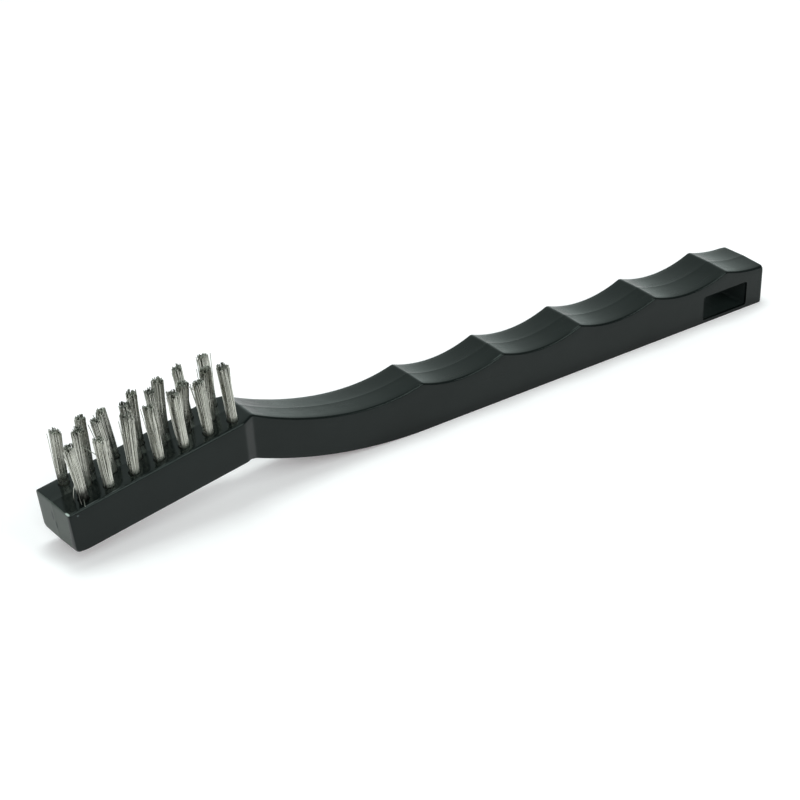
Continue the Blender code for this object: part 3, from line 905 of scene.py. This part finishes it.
shade = point_value(tree, "wire_shade")
height = point_value(tree, "wire_height")
stain = noise(tree, place, 500.0, 3.0)
body = blend_colours(tree, shade, (0.438, 0.438, 0.395), (0.575, 0.574, 0.52))
body = blend_colours(tree, remap(tree, stain, 0.55, 0.75, 0.0, 0.4), body, (0.38, 0.355, 0.315))
# Painted shade: dark speckles near the top of each tuft, and the last bit of every wire painted
# darker still, for cut ends that lie in shade.
speckle = noise(tree, place, 5200.0, 2.0)
painted_shade_tips = blend_colours(tree, remap(tree, height, 0.80, 0.98, 0.0, 1.0), body, DARKER_STEEL)
body = blend_colours(tree, remap(tree, speckle, 0.45, 0.6, 0.0, 0.8), body, painted_shade_tips)
body = blend_colours(tree, remap(tree, height, 0.94, 1.0, 0.0, 0.6), body, (0.14, 0.135, 0.12))
# The first tuft is painted darker near its foot.
body = blend_colours(tree, near_spot(tree, place, FOOT_DARK_SPOT, FOOT_DARK_REACH), body, DARKER_STEEL)
tree.links.new(body, shader.inputs["Base Color"])
tree.links.new(remap(tree, stain, 0.3, 0.7, 0.20, 0.36), shader.inputs["Roughness"])
shader.inputs["Metallic"].default_value = 1.0
print(steel.name, "has", len(tree.nodes), "nodes")

# %% Metal of the anchors
anchor_metal, tree, shader, place = new_material("sheared_anchor_metal")
streak = noise(tree, place, 300.0, 4.0, stretch=(1.0, 12.0, 12.0))
tone = blend_colours(tree, streak, (0.48, 0.45, 0.38), (0.62, 0.59, 0.52))
tree.links.new(tone, shader.inputs["Base Color"])
tree.links.new(remap(tree, streak, 0.3, 0.7, 0.3, 0.5), shader.inputs["Roughness"])
shader.inputs["Metallic"].default_value = 1.0
anchors = [thing for name, thing in frame["nodes"].items() if name.startswith("anchor_")]
for anchor in anchors:
    anchor.data.materials.clear()
    anchor.data.materials.append(anchor_metal)
print(len(anchors), "anchors keep their CAD shape, in", anchor_metal.name)

# %% [markdown]
# ## The twenty tufts
#
# No two tufts of a real brush stand alike: each leans, spreads and ends in its own way.
# The lean at the tips and the missing length were set from the photograph, in
# millimetres, and the spread is a share of the distance from the middle of the tuft.
# Three tufts also have stray wires that packing has bent.

# %% Lean along and across, spread, and missing length of each tuft
TUFT_LOOKS = {
    "left": [(-0.5, 0.0, 0.06, 0.3), (0.0, 0.0, 0.21, 1.9), (0.9, 0.0, 0.26, 0.0),
             (0.0, 0.0, 0.16, 0.3), (0.0, 0.0, 0.26, 0.3), (0.0, 0.0, 0.21, 0.8),
             (0.0, 0.0, 0.11, 0.0)],
    "middle": [(0.7, 0.0, 0.21, 0.3), (-1.0, 0.0, 0.06, 0.3), (0.0, 0.0, 0.21, 0.2),
               (0.0, 0.0, 0.21, 0.0), (0.7, -1.2, 0.21, 1.1), (1.0, 0.0, 0.16, 1.3)],
    "right": [(0.6, 0.0, 0.02, 0.7), (0.6, 0.0, 0.02, 0.8), (-0.6, 0.0, 0.02, 1.3),
              (0.6, 0.0, 0.02, 0.9), (0.9, 0.0, 0.06, 1.0), (-0.2, 0.0, 0.06, 0.6),
              (0.1, 0.0, 0.06, 0.7)],
}

# %% Start, bend and end of each bent stray: along, across and above the head
BENT_STRAYS = {
    "left_1": [((4.9, -3.8, 1.2), (4.3, -5.2, 1.3), (3.8, -5.95, 0.1)),
               ((4.6, -3.9, 3.0), (3.6, -4.3, 2.4), (3.7, -5.0, 0.08)),
               ((4.5, -3.4, 4.6), (3.0, -3.2, 2.6), (3.1, -3.5, 0.08))],
    "middle_1": [((8.1, -0.8, 9.4), (8.5, -2.6, 9.3), (9.6, -4.0, 7.8))],
    "left_6": [((33.2, -3.7, 9.6), (32.4, -3.5, 11.2), (31.5, -3.4, 12.0))],
}

# %% Building the tufts
SHADE_SEEDS = 100


def stray_paths(name, points):
    """The bent strays of a tuft: each is a quadratic curve from its start to its end, which
    the bend pulls on with the weight 2t(1 - t)."""
    bends = np.array(BENT_STRAYS.get(name, np.zeros((0, 3, 3))))
    t = np.linspace(0, 1, points)[None, :, None]
    start, bend, end = [bends[:, i:i + 1] for i in range(3)]
    return (1 - t)**2 * start + 2 * (1 - t) * t * bend + t**2 * end


def make_tuft(seed, name, along, side):
    """The wires of one tuft, moved to its hole and turned with the head."""
    row, number = name.split("_")
    lean_along, lean_across, spread, cut = TUFT_LOOKS[row][int(number) - 1]
    tuft = {"lean": np.array([lean_along, lean_across]), "spread": spread, "cut": cut}
    paths = wire_paths(seed, tuft) + [along, side, 0]
    paths = np.concatenate([paths, stray_paths(name, paths.shape[1])])
    rings = tubes(paths, WIRE_DIAMETER / 2)
    faces = tube_faces(*paths.shape[:2])
    points = head_to_frame(rings) * MM
    piece = add_piece(f"wires_{name}", points, faces, steel, f"tuft_{name}", "steel_wire")
    shades = np.random.default_rng(seed + SHADE_SEEDS).random(len(paths))
    values = {"wire_shade": np.repeat(shades, paths.shape[1] * SIDES),
              "wire_height": (rings[..., 2] / TUFT_LENGTH).ravel()}
    for key, numbers in values.items():
        stored = piece.data.attributes.new(key, "FLOAT", "POINT")
        stored.data.foreach_set("value", numbers.astype(np.float32))
    smooth_surface(piece, sharp_angle=60)
    return piece


wires = [make_tuft(seed, *tuft) for seed, tuft in enumerate(TUFTS)]
print(len(wires), "tufts with", sum(len(w.data.polygons) for w in wires), "faces")

# %% [markdown]
# ## The floor and the light
#
# The photograph was taken on a white sweep. A pale floor under a sky that is dim in front
# and bright behind gives the same broad reflections in the glossy plastic. The floor's
# faint glow keeps it white where the lamps fade. Four soft lamps model the brush: one
# above, one on the camera's side, one that draws the light lines along the edges, and one
# lower down at the front for the sides of the head and the handle.

# %% Floor
floor_paint, tree, shader, place = new_material("pale_floor")
mottle = noise(tree, place, 30.0, 2.0)
tree.links.new(blend_colours(tree, mottle, (0.895, 0.84, 0.87), (0.925, 0.87, 0.90)),
               shader.inputs["Base Color"])
shader.inputs["Roughness"].default_value = 0.8
shader.inputs["Emission Color"].default_value = (1.0, 0.88, 0.90, 1.0)
shader.inputs["Emission Strength"].default_value = 0.19
FLOOR = 3.0  # metres from its middle to its edges
floor = add_piece("floor", np.array([[-FLOOR, -FLOOR, 0], [FLOOR, -FLOOR, 0],
                                     [FLOOR, FLOOR, 0], [-FLOOR, FLOOR, 0]]),
                  [[0, 1, 2, 3]], floor_paint)

# %% Light
DIM_FRONT, BRIGHT_BACK = (0.17, 0.20, 0.19), (0.68, 0.79, 0.76)
LAMP_COLOUR = (0.88, 1.0, 0.96)
world = bpy.data.worlds.new("bright_room")
world.use_nodes = True
tree = world.node_tree
direction = tree.nodes.new("ShaderNodeTexCoord").outputs["Generated"]
split = tree.nodes.new("ShaderNodeSeparateXYZ")
tree.links.new(direction, split.inputs["Vector"])
behind = remap(tree, split.outputs["Y"], -0.15, 0.45, 0.0, 1.0)
tree.links.new(blend_colours(tree, behind, DIM_FRONT, BRIGHT_BACK),
               tree.nodes["Background"].inputs["Color"])
tree.links.new(remap(tree, split.outputs["Z"], 0.05, 0.35, 1.4, 1.0),
               tree.nodes["Background"].inputs["Strength"])
bpy.context.scene.world = world


def soft_lamp(name, place, width, height, watts):
    """A flat lamp that faces the middle of the brush, as green as the photograph's light."""
    data = bpy.data.lights.new(name, "AREA")
    data.shape, data.size, data.size_y, data.energy = "RECTANGLE", width, height, watts
    data.color = LAMP_COLOUR
    lamp = bpy.data.objects.new(name, data)
    bpy.context.scene.collection.objects.link(lamp)
    back = np.array(place) / np.linalg.norm(place)
    right = np.cross([0, 0, 1.0], back)
    right = right / np.linalg.norm(right)
    turned = np.eye(4)
    turned[:3, :3] = np.column_stack([right, np.cross(back, right), back])
    turned[:3, 3] = place
    lamp.matrix_world = Matrix(turned.tolist())


soft_lamp("top_lamp", (-0.03, 0.20, 0.98), 0.36, 0.36, 3.6)
soft_lamp("front_lamp", (-0.46, -0.66, 0.60), 0.50, 0.50, 3.2)
soft_lamp("edge_lamp", (0.20, -0.52, 0.83), 0.40, 0.36, 1.4)
soft_lamp("side_lamp", (0.31, -0.81, 0.50), 0.60, 0.24, 2.7)
bpy.context.scene.view_settings.view_transform = "Standard"
print("floor and", len(bpy.data.lights), "lamps")
